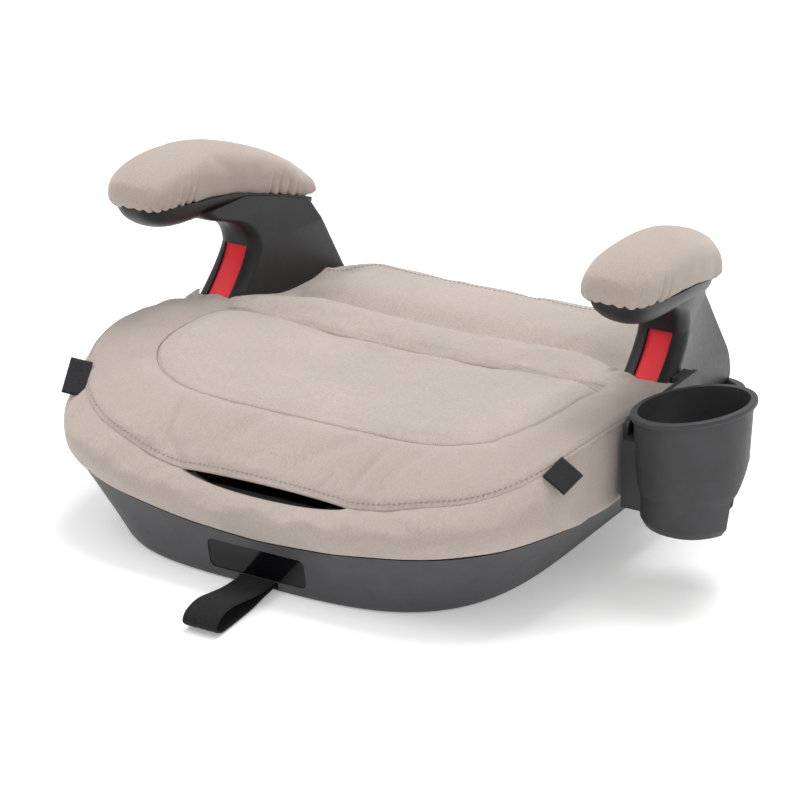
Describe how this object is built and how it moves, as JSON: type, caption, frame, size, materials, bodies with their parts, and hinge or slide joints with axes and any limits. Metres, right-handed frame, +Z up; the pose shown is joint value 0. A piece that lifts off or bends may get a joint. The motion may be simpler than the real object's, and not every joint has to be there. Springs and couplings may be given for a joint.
{
  "type": "booster seat",
  "caption": "Backless child booster seat with a fabric cover on a plastic base, padded armrests with belt guides, a side cup holder and lower anchor connectors.",
  "frame": {"origin": "on the ground under the middle of the seat, in the left-right symmetry plane of the seat", "axes": "+Z up, the child faces -Y, +X is the side with the cup holder"},
  "size_m": [0.508, 0.453, 0.2307],
  "materials": {
    "base_plastic": "fine grained moulded plastic, satin",
    "shell_plastic": "moulded plastic, matt",
    "arm_plastic": "fine grained moulded plastic, satin",
    "seat_fabric": "woven twill with sewn seams",
    "arm_fabric": "woven twill, gathered at the hem",
    "foam": "open cell foam",
    "red_plastic": "smooth moulded plastic",
    "cup_plastic": "fine grained moulded plastic, satin",
    "badge_black": "gloss black, blank",
    "tag_cloth": "folded woven tape, blank",
    "webbing": "ribbed polyester webbing",
    "inner_plastic": "glass filled plastic",
    "steel": "zinc plated",
    "spring_steel": "spring wire",
    "button_red": "smooth moulded plastic"
  },
  "bodies": {
    "seat": {"base_shell": "base_plastic", "slider_guide": "base_plastic", "carriage_rails": "base_plastic", "seat_shell": "shell_plastic", "armrest_post_left": "arm_plastic", "armrest_post_right": "arm_plastic", "armrest_body_left": "arm_plastic", "armrest_body_right": "arm_plastic", "seat_cover": "seat_fabric", "armrest_cover_left": "arm_fabric", "armrest_cover_right": "arm_fabric", "seat_foam": "foam", "armrest_foam_left": "foam", "armrest_foam_right": "foam", "belt_guide_left": "red_plastic", "belt_guide_right": "red_plastic", "badge_plate": "badge_black", "side_tag_left": "tag_cloth", "side_tag_right": "tag_cloth", "cup_holder_bracket": "cup_plastic", "shell_screws": "steel", "armrest_screws": "steel", "pawl_pin": "steel", "slider_spring": "spring_steel", "pawl_spring": "spring_steel"},
    "cup": {"cup_holder": "cup_plastic"},
    "strap": {"release_strap": "webbing", "release_slider": "inner_plastic"},
    "pawl": {"lock_pawl": "inner_plastic", "pawl_pull_pin": "steel"},
    "carriage": {"latch_frame": "steel", "latch_rack": "steel", "latch_housing_left": "inner_plastic", "jaw_pin_left": "steel", "jaw_spring_left": "spring_steel", "latch_housing_right": "inner_plastic", "jaw_pin_right": "steel", "jaw_spring_right": "spring_steel"},
    "jaw_left": {"latch_jaw_left": "steel"},
    "button_left": {"release_button_left": "button_red"},
    "jaw_right": {"latch_jaw_right": "steel"},
    "button_right": {"release_button_right": "button_red"}
  },
  "joints": [
    {"name": "latch_extend", "type": "slide", "parent": "seat", "child": "carriage", "axis": [0, 1, 0], "range_m": [0, 0.09]},
    {"name": "strap_pull", "type": "slide", "parent": "seat", "child": "strap", "axis": [0, -1, 0], "range_m": [0, 0.008], "stiffness_N_per_m": 600, "deforming": ["slider_spring"]},
    {"name": "pawl_lift", "type": "hinge", "parent": "seat", "child": "pawl", "pos_m": [0, 0, 0.036], "axis": [-1, 0, 0], "range_deg": [0, 17.5], "deforming": ["pawl_spring"]},
    {"name": "cup_lift", "type": "slide", "parent": "seat", "child": "cup", "axis": [0, 0, 1], "range_m": [0, 0.042]},
    {"name": "button_press_left", "type": "slide", "parent": "carriage", "child": "button_left", "axis": [0, 0, -1], "range_m": [0, 0.0032], "stiffness_N_per_m": 500, "deforming": ["jaw_spring_left"]},
    {"name": "jaw_open_left", "type": "hinge", "parent": "carriage", "child": "jaw_left", "pos_m": [-0.138, 0.132, 0.039], "axis": [1, 0, 0], "range_deg": [0, 15.5]},
    {"name": "button_press_right", "type": "slide", "parent": "carriage", "child": "button_right", "axis": [0, 0, -1], "range_m": [0, 0.0032], "stiffness_N_per_m": 500, "deforming": ["jaw_spring_right"]},
    {"name": "jaw_open_right", "type": "hinge", "parent": "carriage", "child": "jaw_right", "pos_m": [0.138, 0.132, 0.039], "axis": [1, 0, 0], "range_deg": [0, 15.5]}
  ],
  "couplings": [
    {"joint": "pawl_lift", "follows": "strap_pull", "rad_per_m": 37.5},
    {"joint": "jaw_open_left", "follows": "button_press_left", "rad_per_m": 84},
    {"joint": "jaw_open_right", "follows": "button_press_right", "rad_per_m": 84}
  ]
}
